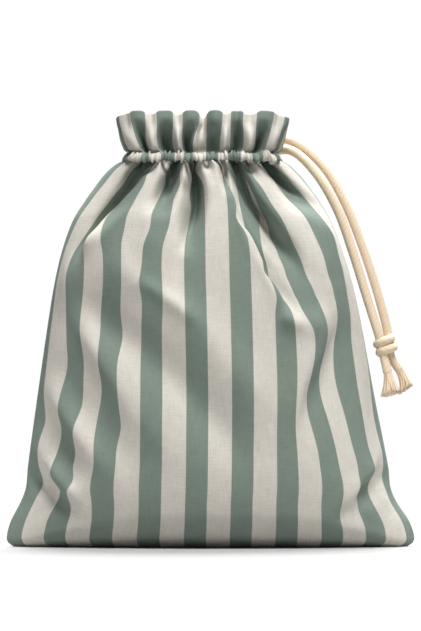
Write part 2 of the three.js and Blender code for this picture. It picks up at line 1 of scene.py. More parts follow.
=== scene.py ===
import bpy
import bmesh
import math
import random
import numpy as np
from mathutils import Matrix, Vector


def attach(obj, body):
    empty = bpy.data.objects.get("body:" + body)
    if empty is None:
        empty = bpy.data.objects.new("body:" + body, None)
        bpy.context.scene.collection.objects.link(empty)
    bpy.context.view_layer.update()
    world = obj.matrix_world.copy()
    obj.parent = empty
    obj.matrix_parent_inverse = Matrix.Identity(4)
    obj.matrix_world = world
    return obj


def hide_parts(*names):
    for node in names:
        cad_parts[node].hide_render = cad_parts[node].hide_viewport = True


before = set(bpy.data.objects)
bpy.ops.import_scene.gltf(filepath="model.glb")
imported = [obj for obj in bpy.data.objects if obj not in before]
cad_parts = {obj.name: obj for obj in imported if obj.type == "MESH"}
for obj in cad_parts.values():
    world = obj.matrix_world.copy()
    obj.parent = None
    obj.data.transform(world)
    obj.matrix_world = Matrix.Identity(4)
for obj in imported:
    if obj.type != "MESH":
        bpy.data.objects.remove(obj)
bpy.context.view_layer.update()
mm = 0.001
random.seed(11)
print("frame loaded, nodes:", sorted(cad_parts))


def addObject(name, data):
    made = bpy.data.objects.new(name, data)
    bpy.context.scene.collection.objects.link(made)
    return made


def meshFrom(name, bm):
    mesh = bpy.data.meshes.new(name)
    bm.to_mesh(mesh)
    bm.free()
    return mesh


# camera first: the photo looks straight at the front from a little above the floor
cameraSettings = {
    "away": 2.0,  # metres in front of the seams' plane
    "height": 0.085,
    "aimHeight": 0.1415,
    "across": 0.0,
    "lens": 185.9,
    "sensor": 36.0,
}


def placeCamera(settings):
    cameraData = bpy.data.cameras.new("photoCamera")
    cameraData.sensor_fit = "VERTICAL"
    cameraData.sensor_height = settings["sensor"]
    cameraData.lens = settings["lens"]
    camera = addObject("photoCamera", cameraData)
    camera.location = (settings["across"], -settings["away"], settings["height"])
    aim = Vector((settings["across"], 0, settings["aimHeight"])) - camera.location
    camera.rotation_euler = aim.to_track_quat("-Z", "Y").to_euler()
    bpy.context.scene.camera = camera


placeCamera(cameraSettings)
print("camera placed")


# small helpers for every piece
def ease(value, low, high):
    t = np.clip((value - low) / (high - low), 0, 1)
    return t * t * (3 - 2 * t)


def gridPiece(name, columns, rows, shape, closed=False):  # a grid whose vertices are laid on the shape
    bm = bmesh.new()
    bmesh.ops.create_grid(bm, x_segments=columns, y_segments=rows, size=0.5)
    mesh = meshFrom(name, bm)
    flat = np.zeros(len(mesh.vertices) * 3, np.float32)
    mesh.vertices.foreach_get("co", flat)
    flat = flat.reshape(-1, 3).astype(float)
    across, along = flat[:, 0] + 0.5, flat[:, 1] + 0.5  # both from 0 to 1
    places, pattern = shape(across, along)
    mesh.vertices.foreach_set("co", (places * mm).astype(np.float32).ravel())
    uvs = mesh.uv_layers.new(name="weave")
    corners = np.zeros(len(mesh.loops), np.int32)
    mesh.loops.foreach_get("vertex_index", corners)
    uvs.data.foreach_set("uv", pattern[corners].astype(np.float32).ravel())
    mesh.polygons.foreach_set("use_smooth", np.ones(len(mesh.polygons), bool))
    if closed:
        bm = bmesh.new()
        bm.from_mesh(mesh)
        bmesh.ops.remove_doubles(bm, verts=bm.verts, dist=1e-6)
        bmesh.ops.recalc_face_normals(bm, faces=bm.faces)
        bm.to_mesh(mesh)
        bm.free()
    mesh.update()
    return addObject(name, mesh)


# drawcord: both ends leave the casing at the back and hang over the right shoulder
cordSettings = {
    "diameter": 5.6,
    "strands": 4,
    "turn": 10.8,  # length of one full twist
    "relief": 0.02,
    "sharp": 0.35,  # narrows the grooves between strands
    "sink": 0.4,
    "tip": 0.3,  # diameters over which an end rounds off
    "around": 28,
    "step": 0.45,
}
outerRoute = [  # casing to knot, through it, and down to the right tip
    (19.2, 22.7, 238.6), (30, 27.6, 246), (42.5, 25.8, 252.2), (54.6, 18.8, 248.4), (70.8, 12, 232.9),
    (82.4, 7.8, 212.6), (92.4, 5.2, 187.5), (102.4, 3.4, 156.8), (108.9, 3.1, 131.4),
    (109.6, 2.7, 123.6), (110.8, 2.4, 116.1), (114, 2.7, 111.3), (116.7, 2.8, 107.2),
]
innerRoute = [  # casing to knot, through it, and down to the left tip
    (27.8, 22.1, 238.6), (35.2, 23.9, 241.3), (44.2, 21, 245), (52.4, 14.4, 242.9), (66, 7.4, 228.3),
    (78.2, 4, 206.6), (87.7, 1.9, 179.8), (96.1, -0.1, 152.4), (102.6, -1.8, 131.4),
    (104.9, -1.6, 123.4), (106.6, -1.6, 115.6), (107.9, -2.5, 109.6), (108.9, -3, 104.9),
]


def smoothRoute(points, step, between=40):  # one smooth curve through the points, in even steps
    points = np.array(points, float)
    ends = np.vstack([2 * points[0] - points[1], points, 2 * points[-1] - points[-2]])
    curve = []
    for a, b, c, d in zip(ends, ends[1:], ends[2:], ends[3:]):
        knots = np.cumsum([0] + [np.linalg.norm(q - p) ** 0.5 for p, q in ((a, b), (b, c), (c, d))])
        for t in np.linspace(knots[1], knots[2], between, endpoint=False):
            ab = (a * (knots[1] - t) + b * (t - knots[0])) / (knots[1] - knots[0])
            bc = (b * (knots[2] - t) + c * (t - knots[1])) / (knots[2] - knots[1])
            cd = (c * (knots[3] - t) + d * (t - knots[2])) / (knots[3] - knots[2])
            abc = (ab * (knots[2] - t) + bc * (t - knots[0])) / (knots[2] - knots[0])
            bcd = (bc * (knots[3] - t) + cd * (t - knots[1])) / (knots[3] - knots[1])
            curve.append((abc * (knots[2] - t) + bcd * (t - knots[1])) / (knots[2] - knots[1]))
    curve.append(points[-1])
    curve = np.array(curve)
    way = np.concatenate([[0], np.cumsum(np.linalg.norm(np.diff(curve, axis=0), axis=1))])
    count = max(int(round(way[-1] / step)), 8)
    even = np.linspace(0, way[-1], count + 1)
    return np.column_stack([np.interp(even, way, curve[:, k]) for k in range(3)]), way[-1]


def ropeFrames(line):  # sideways directions that don't turn by themselves along the line
    along = np.gradient(line, axis=0)
    along /= np.linalg.norm(along, axis=1, keepdims=True)
    side = np.cross(along[0], (0, 1, 0.2))
    sides = []
    for direction in along:
        side = side - direction * np.dot(side, direction)
        side /= np.linalg.norm(side)
        sides.append(side.copy())
    sides = np.array(sides)
    return sides, np.cross(along, sides)


def ropePiece(name, line, length, diameter, settings, phase=0.0):
    sides, ups = ropeFrames(line)
    last = len(line) - 1

    def shape(around, way):
        ring = np.clip(np.round(way * last).astype(int), 0, last)
        angle = around * 2 * math.pi
        twist = settings["strands"] * (angle - 2 * math.pi * way * length / settings["turn"]) + phase
        crest = np.cos(twist) - settings["sharp"] * np.cos(2 * twist) - settings["sink"]
        fromEnd = np.clip(np.minimum(way, 1 - way) * length / (diameter * settings["tip"]), 0, 1)
        close = np.sqrt(np.clip(1 - (1 - fromEnd) ** 2, 0, 1))  # both ends close to a round tip
        radius = diameter / 2 * (1 + settings["relief"] * crest) * close
        out = np.cos(angle)[:, None] * sides[ring] + np.sin(angle)[:, None] * ups[ring]
        places = line[ring] + out * radius[:, None]
        return places, np.column_stack([around, way * length / 10])

    return gridPiece(name, settings["around"], last, shape, closed=True)


outerLine, outerLength = smoothRoute(outerRoute, cordSettings["step"])
innerLine, innerLength = smoothRoute(innerRoute, cordSettings["step"])
cordOuter = ropePiece("cord_end_outer", outerLine, outerLength, cordSettings["diameter"], cordSettings)
cordInner = ropePiece("cord_end_inner", innerLine, innerLength, cordSettings["diameter"], cordSettings,
                      phase=1.3)
print("cord ends", round(outerLength, 1), "and", round(innerLength, 1), "mm")

# knot: the doubled cord wound round itself
knotSettings = {
    "place": (107.3, 0.6, 123.2),
    "turns": 1.9,
    "pitch": 5.3,
    "ringX": 4.5,
    "ringY": 3.9,
    "cord": 5.5,
    "tilt": 0.1,
    "lean": 0.3,  # the lower turn sits a little to the right
    "steps": 260,
}


def knotLine(settings):
    t = np.linspace(0, 1, settings["steps"])
    angle = 2 * math.pi * settings["turns"] * (t - 0.5) + 0.5 * math.pi  # starts and ends behind
    across = -settings["ringX"] * np.cos(angle)
    fall = settings["pitch"] * settings["turns"] * (0.5 - t)
    rise = fall + across * settings["tilt"]
    across = across - fall * settings["lean"]
    line = np.column_stack([across, settings["ringY"] * np.sin(angle), rise]) + np.array(settings["place"])
    return line, float(np.sum(np.linalg.norm(np.diff(line, axis=0), axis=1)))


knotPath, knotLength = knotLine(knotSettings)
knotPiece = ropePiece("knot_turns", knotPath, knotLength, knotSettings["cord"], cordSettings)
print("knot wound")

# frayed tips
fraySettings = {
    "strands": 210,
    "bundles": 10,
    "stray": 0.34,  # of the way to the next bundle
    "length": 14.2,
    "shortest": 0.91,  # of that length
    "rootRadius": 2.35,
    "bare": 0.05,  # share of the cord's section without strands, in its middle
    "bend": 0.5,
    "sway": 0.35,
    "even": 0.25,  # share of the flare that grows evenly
    "late": 1.6,  # how late the rest comes
    "hang": 0.5,  # how far the tip turns straight down
    "thick": 0.33,
    "thickRange": (0.8, 1.25),
    "head": 1.2,  # how far the strands start inside the cord
    "lookBack": 12,  # steps up the cord that give its direction
    "rows": 6,
    "slim": {5: 0.8, 6: 0.6},  # the last rows get thinner
}


def frayPiece(name, line, settings, flare, seed):
    rng = random.Random(seed)
    end = Vector(line[-1])
    down = (end - Vector(line[-settings["lookBack"]])).normalized()
    side = down.cross(Vector((0, 1, 0))).normalized()
    up = down.cross(side)
    bm = bmesh.new()

    def cornerPlace(part):  # extruding leaves edges and faces in no set order
        corners = [vert.index for vert in part.verts]
        return min(corners) * len(bm.verts) + max(corners)

    for k in range(settings["strands"]):
        bundle = k % settings["bundles"]
        turn = 2 * math.pi * (bundle + settings["stray"] * rng.uniform(-1, 1)) / settings["bundles"]
        out = settings["rootRadius"] * math.sqrt(rng.uniform(settings["bare"], 1))
        length = settings["length"] * rng.uniform(settings["shortest"], 1.0)
        bend = rng.uniform(-settings["bend"], settings["bend"])
        thick = settings["thick"] * rng.uniform(*settings["thickRange"])
        ring = bmesh.ops.create_circle(bm, segments=4, radius=thick)["verts"]
        for vert in ring:
            offSide, offUp = out * math.cos(turn) + vert.co.x, out * math.sin(turn) + vert.co.y
            vert.co = end + side * offSide + up * offUp - down * settings["head"]
        edges = list(dict.fromkeys(edge for vert in ring for edge in vert.link_edges))
        for row in range(1, settings["rows"] + 1):
            share = row / settings["rows"]
            opened = settings["even"] * share + (1 - settings["even"]) * share ** settings["late"]
            spread = 1 + (flare - 1) * opened
            droop = settings["hang"] * share * max(length * share - settings["head"], 0)
            around = turn + bend * settings["sway"] * share * share
            centre = (end + side * (out * spread * math.cos(around)) + up * (out * spread * math.sin(around))
                      + down * (length * share - settings["head"] - droop) - Vector((0, 0, droop)))
            grown = bmesh.ops.extrude_edge_only(bm, edges=edges)["geom"]
            newVerts = [g for g in grown if isinstance(g, bmesh.types.BMVert)]
            edges = [g for g in grown if isinstance(g, bmesh.types.BMEdge)]
            middle = sum((v.co for v in newVerts), Vector()) / len(newVerts)
            for vert in newVerts:
                vert.co = centre + (vert.co - middle) * settings["slim"].get(row, 1)
        bmesh.ops.contextual_create(bm, geom=edges)
    bmesh.ops.recalc_face_normals(bm, faces=bm.faces)
    bmesh.ops.scale(bm, vec=(mm, mm, mm), verts=bm.verts)
    bm.verts.index_update()
    bm.edges.sort(key=cornerPlace)
    bm.faces.sort(key=cornerPlace)
    mesh = meshFrom(name, bm)
    for face in mesh.polygons:
        face.use_smooth = True
    return addObject(name, mesh)


frayRight = frayPiece("frayed_tip_right", outerLine, fraySettings, flare=2.1, seed=5)
frayLeft = frayPiece("frayed_tip_left", innerLine, fraySettings, flare=2.8, seed=9)
print("tips frayed")

# cloth: both panels, hem and frill in one with each
clothSettings = {
    "halfPanel": 125.0,  # flat, from the middle to a side seam
    "bodyCloth": 288.0,  # flat, from the base seam to the neck
    "frillTop": 315.9,
    "hemTurn": 0.9,  # radius of the turned edge
    "hemEnd": 337.0,
    "neck": 237.6,
    "stripe": 27.4,
    "paleMiddle": 2.2,
    "bend": 24.0,  # radius from the base up into the wall, at most
    "bendShare": 0.8,  # and no more than this share of the base's depth
    "seamHold": (0.5, 11),  # from a side seam, where creases come in
    "baseHold": (4, 22),
    "neckHold": (-1.5, 0.5),  # from the neck
    "frillMix": (-1.2, 3.4),
    "least": 1.2,  # depth that creases leave, or the share below if less
    "leastShare": 0.2,
    "leastWall": 2.5,  # depth that folds leave, or the share below if less
    "leastWallShare": 0.12,
    "rollReach": 1.6,
    "neckGrip": 3,  # below the neck, where folds are held
    "floorGrip": 18,
    "columns": 300,
    "rows": 280,
}
bodySections = [  # height, left, right, middle pale stripe, depth, square, round, slack
    (0, -120.6, 120.6, 4.6, 33, 2.3, 1.0, 1), (2, -123.7, 123.7, 4.5, 34, 2.3, 1.0, 1),
    (5.5, -125, 125, 4.4, 35.5, 2.3, 1.0, 1),
    (15, -122.6, 122, 4.8, 39, 2.3, 1.0, 1.5), (27, -116.5, 114.2, 5.0, 42, 2.3, 0.97, 2),
    (36, -113.2, 110.4, 5.4, 43.5, 2.3, 0.94, 2), (49, -112, 109, 5.6, 45, 2.3, 0.92, 2),
    (90, -106.5, 101, 5.8, 47, 2.3, 0.9, 2), (139, -99.5, 92, 5.0, 46, 2.3, 0.85, 2),
    (163, -95.5, 86.5, 4.3, 44, 2.3, 0.8, 1.6), (182, -91, 80.5, 4.0, 41, 2.3, 0.74, 1),
    (200, -84.5, 73.5, 3.6, 36.5, 2.3, 0.68, 1), (212, -77, 66.5, 3.0, 32.5, 2.2, 0.63, 1),
    (220, -71.3, 60.8, 2.0, 29.8, 2.2, 0.6, 0.8), (226, -66.8, 56.3, 0.9, 27.6, 2.2, 0.57, 0.5),
    (230, -63.2, 52.4, 0.1, 26.4, 2.2, 0.54, 0.3), (233.3, -59.3, 48.9, -0.9, 25.4, 2.2, 0.52, 0.15),
    (235.4, -55.6, 45.4, -1.8, 24.2, 2.2, 0.5, 0.05), (236.8, -51.4, 41.6, -2.8, 21.4, 2.2, 0.5, 0),
    (237.6, -47.5, 38, -3.6, 16.4, 2.2, 0.5, 0),
]
bodyLeft, bodyRight, bodyMiddle, bodyDepth, bodySquare, bodyRound, bodySlack = range(1, 8)
frillSections = [  # height, left, right, depth
    (230, -46, 36.5, 15), (238, -46, 36.5, 15), (240.6, -48.5, 39, 15.4), (242.4, -52.4, 42.9, 19.4),
    (243.6, -53.4, 43.9, 20.8), (248, -55.2, 45.4, 22), (251, -56, 46.3, 22.2), (258, -57, 47.4, 21.4),
    (266, -58, 48.6, 19.2),
]
frillLeft, frillRight, frillDepth = range(1, 4)
frillSettings = {
    "footRow": 4,  # of the sections, where the pleats' feet are measured
    "narrower": 0.3,  # the dark stripes stop this far short of halfway
    "spread": (243, 262),  # heights, from the feet to the top
    "footIn": (239, 243),
    "footFade": (245, 262.5),
    "topOut": (246, 260),
    "dip": (252, 266),
    "arch": (-0.85, 0.5),  # the top edge arches over the dark stripes
    "endDip": 3.7,  # and falls towards the side seams
    "endReach": (68, 99),
}
# a row for each stripe: across, then top: x, wide, out, edge; foot: x, wide, left, out, right; dip
frontFrill = [
    (-93.7, -57.7, 0.3, 0, 0, -53, 0.2, -1, -1, -1, 1),
    (-80, -53, 7, -2.6, -1.8, -46.6, 6.4, -0.5, 1, -0.5, 1),
    (-66.3, -44.9, 9.2, 0, 0, -42.5, 3.6, -4, -13, -12, 0),
    (-52.6, -36.6, 7, -3.4, -1.8, -35.3, 6, -1, 1.4, -1, 1.6),
    (-38.9, -27.9, 10.6, -0.6, 0.2, -27.9, 7.4, -4, -14.5, -13, 0),
    (-25.2, -20.1, 6.2, -3.4, -1.8, -19.3, 4.6, -1, 1.6, -1, 1.8),
    (-11.5, -11.9, 10.4, 1, 0.2, -14.2, 5.7, -9, -14, -4, 0),
    (2.2, -4.5, 4.4, -10, -6, -6.6, 7, -2, -6, -9, 3.6),
    (15.9, 2.6, 9.8, 2.2, 0.8, 1.6, 7.2, -6, -10, -8, 0),
    (29.6, 10, 5.2, -3, -2.6, 8.6, 5.2, -0.5, 1, -3, 1.4),
    (43.3, 16.4, 7.6, -4.4, -1.6, 16, 6.6, -9, -15, -8, 0),
    (57, 24.5, 8.4, -3.4, -1.8, 23.9, 6.4, -1, 1.6, -1, 1.8),
    (70.7, 33.9, 10.6, 0, 0.2, 30.5, 6.2, -10, -14, -4, 0),
    (84.4, 42.5, 6.6, -2.6, -1.6, 37.6, 5.4, -0.6, 1, -0.6, 1),
    (98.1, 47.3, 2, 0, 0, 42.1, 2.4, -2, -2, -2, 1),
]
backFrill = [
    (-93.7, -57.6, 0.4, 0, 0, -52.6, 0.5, -1, -1, -1, 2.6),
    (-80, -52, 8, -2.8, -1.6, -46.6, 4.6, -0.5, 1, -0.5, 2),
    (-66.3, -44.4, 8, 1.6, 0.2, -41.6, 5, -5, -8, -7, 0),
    (-52.6, -36.6, 8, -3.4, -1.6, -34.6, 5, -1, 1.4, -1, 2.2),
    (-38.9, -28.4, 8.6, 1.6, 0.2, -27.6, 6, -8, -9, -4, 0),
    (-25.2, -20.4, 7.6, -4, -2, -20, 5, -1, 1.6, -1, 2.8),
    (-11.5, -12, 8.8, 2, 0.2, -12.6, 5.8, -5, -8.5, -8, 0),
    (2.2, -4, 7, -3.4, -1.6, -5, 5, -1, 1.4, -1, 2.2),
    (15.9, 4, 8.6, 2.2, 0.2, 2.6, 6, -8, -9, -5, 0),
    (29.6, 12, 7, -3.8, -1.8, 10.8, 4.8, -1, 1.4, -1, 2.6),
    (43.3, 19.4, 7.4, 1.4, 0.2, 18, 5.6, -5, -8, -7, 0),
    (57, 26.6, 7.4, -3.8, -1.6, 25.6, 5, -1, 1.4, -1, 2.4),
    (70.7, 34.8, 8.2, 1.8, 0.2, 32.6, 5.8, -7, -9, -4, 0),
    (84.4, 42, 7, -2.8, -1.6, 38.4, 5, -0.6, 1, -0.6, 2.2),
    (98.1, 46.8, 2, 0, 0, 42.4, 1.6, -2, -2, -2, 2.8),
]
frontFolds = [  # topAcross, top, footAcross, foot, wide, deep, roll, tuck, grow, show
    (-72, 236, -98, 158, 11, 9, -5, 14, 0.55, 0.8), (-33, 236, -31, 196, 6, 8, 0, 2, 0.75, 0),
    (-11, 236, -13, 165, 6.5, 9, -1, 0, 0.75, 0.5), (12, 236, 58, 128, 9, 5, 6, 12, 0.35, 0.45),
    (54, 236, 58, 156, 9, 12, 1, 8, 0.9, 0.25), (80, 236, 80, 214, 4, 3, 0, 1, 0.75, 1),
    (94, 236, 95, 202, 6, 7, 0, 3, 0.75, 0.6), (-99, 236, -101, 204, 5, 5, 0, 2, 0.75, 0.8),
    (2, 236, 2, 217, 3.5, 3, 0, 0, 0.75, 0.6), (95, 156, 44, 52, 15, 1, 3, 10, 0, 1),
    (-108, 160, -44, 56, 13, 1, -2.5, 4, 0, 1), (-118, 104, -72, 38, 12, 1, -2.5, 5, 0, 1),
    (-116, 62, -80, 12, 11, 1, -3.5, 6, 0, 1), (124, 64, 66, 8, 11, 1, 3.5, 6, 0, 0.5),
    (-46, 190, -24, 124, 10, 3, -1, 1, 0, 0.6),
]
backFolds = [
    (-96, 236, -102, 186, 8, 9, 2, 4, 0.7, 1), (-62, 236, -78, 156, 10, 10, -4, 11, 0.5, 0.8),
    (-24, 236, -28, 184, 6.5, 9, 1, 2, 0.75, 0.8), (8, 236, 5, 196, 6.5, 8, 0, 2, 0.75, 0.8),
    (38, 236, 52, 152, 9, 8, 5, 11, 0.5, 0.8), (80, 236, 94, 176, 9, 10, -2, 6, 0.6, 0.8),
    (-44, 236, -45, 212, 4.5, 4, 0, 1, 0.75, 1), (22, 236, 22, 214, 4, 4, 0, 1, 0.75, 1),
    (62, 236, 64, 208, 5, 5, 0, 1, 0.75, 1), (-112, 148, -66, 70, 13, 1, -2.5, 5, 0, 1),
    (-118, 70, -80, 14, 11, 1, -3.5, 6, 0, 1), (114, 140, 70, 62, 13, 1, 3, 6, 0, 1),
    (118, 66, 82, 12, 11, 1, 3.5, 6, 0, 1),
]
frontSlips = [  # across, height, wide, tall, sideways: the cloth slips a little off its even spread
    (98, 184, 16, 28, 5), (77, 212, 8, 22, -3), (90, 213, 7, 8, -3), (64, 188, 6, 7, -3),
    (64, 143, 9, 10, -2.8), (84, 158, 26, 8, 2.4), (77, 187, 8, 13, -2.2), (77, 226, 6, 7, -2.2),
    (91, 190, 7, 13, -1.7), (105, 191, 6, 10, 2.4), (105, 168, 6, 10, 1.2), (105, 226, 6, 7, 1.8),
    (98, 128, 12, 13, -2.2), (22, 222, 5, 6, 3.4), (50, 203, 5, 7, 2.6), (50, 170, 5, 8, 1.6),
    (37, 167, 5, 5.5, -2.4), (37, 151, 5, 6, 1.4), (64, 200, 6, 9, -1.2), (64, 177, 6, 6, -1.6),
    (88, 106, 13, 34, -4.4), (98, 66, 24, 14, -1.5),
    (64, 92, 10, 26, -2.8), (118, 78, 8, 20, -5), (92, 42, 8, 7, -2.6), (106, 42, 7, 7, 2.2),
    (91, 28, 8, 6, 2.6), (9, 230, 5, 5, 3.6), (22, 231, 6, 5, 6), (22, 199, 6, 8, -4.5),
    (-5, 231, 6, 6, -3.8), (-17, 214, 7, 10, -4.2), (-32, 211, 6, 7, -2.2), (-46, 226, 18, 9, -2.8),
    (-46, 194, 20, 10, 4.2), (-100, 174, 10, 20, -4.6), (-87, 188, 8, 11, -5.5), (-100, 110, 9, 12, 2.6),
    (-88, 84, 8, 14, 3.8), (-88, 41, 6, 6, 5), (-62, 128, 12, 12, 2.8), (-62, 72, 10, 10, 2.6),
    (-45, 160, 7, 9, -2.2), (-113, 76, 7, 8, 3.2), (-113.5, 39, 6.5, 7, 4.2),
    (119, 42, 5, 6, -4.6),
]
backSlips = [(-60, 150, 16, 26, 2.4), (54, 118, 15, 28, -2.2), (-88, 60, 12, 16, 2), (84, 176, 12, 16, 2)]
frontRelief = [  # out, wide at the start and end, fades in and out over these shares, then x and z along it
    (-12, 4, 5, 0, 0.5, (-39, 237), (-44.3, 226.7), (-53.4, 213), (-61.8, 203), (-70.9, 192), (-76, 187)),
    (1.4, 3.6, 4, 0.2, 0.5, (-40.7, 222), (-49.8, 209), (-58.2, 198.6), (-67.3, 187), (-76.3, 179)),
    (-20, 3.4, 6, 0, 0.6, (-21, 237), (-22.8, 228), (-26, 218), (-30, 208), (-34, 199)),
    (-22, 3.6, 4.6, 0, 0.5, (-11.2, 237), (-9.8, 226), (-8.6, 214), (-9.2, 203), (-13, 189), (-16, 174)),
    (-6, 3.4, 5, 0.25, 0.5, (-16, 226), (-14, 212), (-15.6, 198), (-19, 184)),
    (-12, 2.2, 3, 0, 0.75, (6.8, 237), (8.6, 226), (12, 211)),
    (-20, 3.6, 7, 0, 0.62, (14, 237), (18, 222), (23, 210), (29.6, 201), (38, 188), (46, 177),
     (53, 164), (59, 152)),
    (0.7, 3.4, 4, 0.25, 0.3, (13, 206), (19.4, 190), (24.8, 178), (32.7, 166), (35, 160), (49.6, 134)),
    (-1, 3.2, 4, 0.2, 0.3, (18.2, 206), (24.6, 190), (30, 178), (38, 166), (41.4, 159), (55, 135)),
    (1.9, 7, 9, 0.3, 0.4, (34, 216), (46, 201), (58, 183), (67, 162), (73, 144)),
    (-13, 3.4, 5.5, 0, 0.9, (32.8, 237), (41, 225), (51.5, 215), (63, 206), (76, 194)),
    (-9, 1.8, 2.4, 0, 0.8, (22.5, 237), (23.5, 231), (25, 225)),
    (-9, 1.8, 2.4, 0, 0.8, (-27.4, 237), (-27.6, 232), (-29, 226)),
    (-9, 1.8, 2.4, 0, 0.8, (-2.6, 237), (-2, 232), (-0.5, 226)),
    (-10, 2.2, 3, 0, 0.8, (-33.6, 237), (-36.6, 230), (-41, 223)),
    (3, 8, 10, 0.3, 0.5, (-35, 212), (-37, 190), (-38, 158)),
    (3, 8, 8, 0.3, 0.3, (38, 141), (54, 137), (74, 134)),
    (1.6, 4.5, 4.5, 0.3, 0.4, (40, 142), (48, 137), (58, 133)),
    (4, 12, 13, 0.2, 0.3, (-74, 180), (-52, 167), (-37, 158), (-23, 146), (-9, 134), (11, 112), (46, 68)),
    (2.6, 5, 5, 0.3, 0.4, (-50, 164), (-37, 158), (-26, 150), (-12, 140), (0, 128)),
    (-5.2, 12, 12, 0.2, 0.35, (-90, 160), (-64, 138), (-38, 117), (-12, 93), (10, 66), (30, 34)),
    (1.9, 10.5, 11, 0.2, 0.35, (-94, 142), (-70, 114), (-48, 88), (-26, 62), (-4, 32)),
    (-2, 9.5, 10, 0.2, 0.35, (-99, 120), (-79, 92), (-62, 70), (-46, 50), (-34, 34)),
    (2.5, 8, 8, 0.2, 0.4, (-103, 94), (-82, 68), (-68, 51), (-56, 36)),
    (-1.8, 7, 7, 0.2, 0.4, (-106, 73), (-85, 53), (-70, 35)),
    (2.2, 6.5, 6.5, 0.2, 0.4, (-107, 54), (-90, 38), (-78, 24)),
    (-4.2, 4.6, 5, 0.05, 0.6, (-114, 46), (-106, 40), (-97, 32), (-88, 21)),
    (-3, 3.8, 4.5, 0.05, 0.55, (114, 48), (107, 43), (99, 35)),
    (1.8, 6, 6, 0.2, 0.4, (110, 32), (100, 24), (92, 16)),
]
backRelief = [
    (-6, 4.5, 9, 0, 0.5, (-34, 236), (-43, 222), (-56, 208), (-66, 196)),
    (-5, 4, 7, 0, 0.5, (-14, 236), (-16, 222), (-20, 204)),
    (-6, 4, 8, 0, 0.5, (4, 236), (5, 220), (9, 200), (10, 178)),
    (-6, 4, 9, 0, 0.5, (22, 236), (31, 220), (44, 200), (56, 178)),
    (2.4, 12, 12, 0.25, 0.35, (78, 182), (46, 158), (18, 134), (-4, 104)),
    (-2.2, 11, 11, 0.25, 0.35, (82, 156), (54, 130), (28, 102), (8, 70)),
    (2, 10, 10, 0.25, 0.35, (88, 130), (66, 104), (44, 76), (30, 48)),
    (2, 11, 11, 0.25, 0.35, (-92, 128), (-66, 102), (-44, 72), (-30, 44)),
    (-2, 10, 10, 0.25, 0.35, (-98, 104), (-76, 78), (-56, 48)),
]


def columnAt(table, column, height):  # smooth from row to row
    rows = np.array(table, float)
    k, v = rows[:, 0], rows[:, column]
    n = len(k)
    below, above = np.maximum(np.arange(n) - 1, 0), np.minimum(np.arange(n) + 1, n - 1)
    slope = (v[above] - v[below]) / (k[above] - k[below])
    i = np.clip(np.searchsorted(k, height, side="right") - 1, 0, n - 2)
    span = k[i + 1] - k[i]
    s = np.clip((height - k[i]) / span, 0, 1)
    joined = v[i] + (v[i + 1] - v[i]) * s * s * (3 - 2 * s)
    return joined + s * (1 - s) ** 2 * slope[i] * span - s * s * (1 - s) * slope[i + 1] * span


def plainDepth(across, height):
    share = np.minimum(np.abs(across) / clothSettings["halfPanel"], 1)
    bulge = np.maximum(1 - share ** columnAt(bodySections, bodySquare, height), 0)
    return columnAt(bodySections, bodyDepth, height) * bulge ** columnAt(bodySections, bodyRound, height)


def inFold(fold, across, height):
    topAcross, top, footAcross, foot, wide = fold[:5]
    grow = fold[8]
    share = (height - foot) / (top - foot)
    along = np.clip(share, 0, 1)
    if grow:  # from the neck down
        strength = ease(along, 0, grow)
    else:  # fading out at both ends
        strength = np.where((share > 0) & (share < 1), np.sin(math.pi * along) ** 2, 0)
    off = (across - footAcross - (topAcross - footAcross) * along) / wide
    return strength * np.exp(-off * off), off


def freedom(across, height):  # not at the seams, on the floor or in the neck's grip
    seam = 1 - (np.abs(across) / clothSettings["halfPanel"]) ** 10
    neck = 1 - ease(height, clothSettings["neck"] - clothSettings["neckGrip"], clothSettings["neck"])
    return seam * neck * ease(height, 0, clothSettings["floorGrip"])


def foldedDepth(across, height, folds, seen=False):
    plain = plainDepth(across, height)
    taken = np.zeros(np.broadcast(across, height).shape)
    for fold in folds:
        strength, off = inFold(fold, across, height)
        deep, roll, show = fold[5], fold[6], fold[9]
        taken = taken + strength * (deep + clothSettings["rollReach"] * off * roll) * (show if seen else 1)
    least = np.minimum(clothSettings["leastWall"], clothSettings["leastWallShare"] * plain)
    depth = plain - taken * freedom(across, height)
    held = 0.5 * (depth + least + np.hypot(depth - least, least))
    return plain + held - 0.5 * (plain + least + np.hypot(plain - least, least))


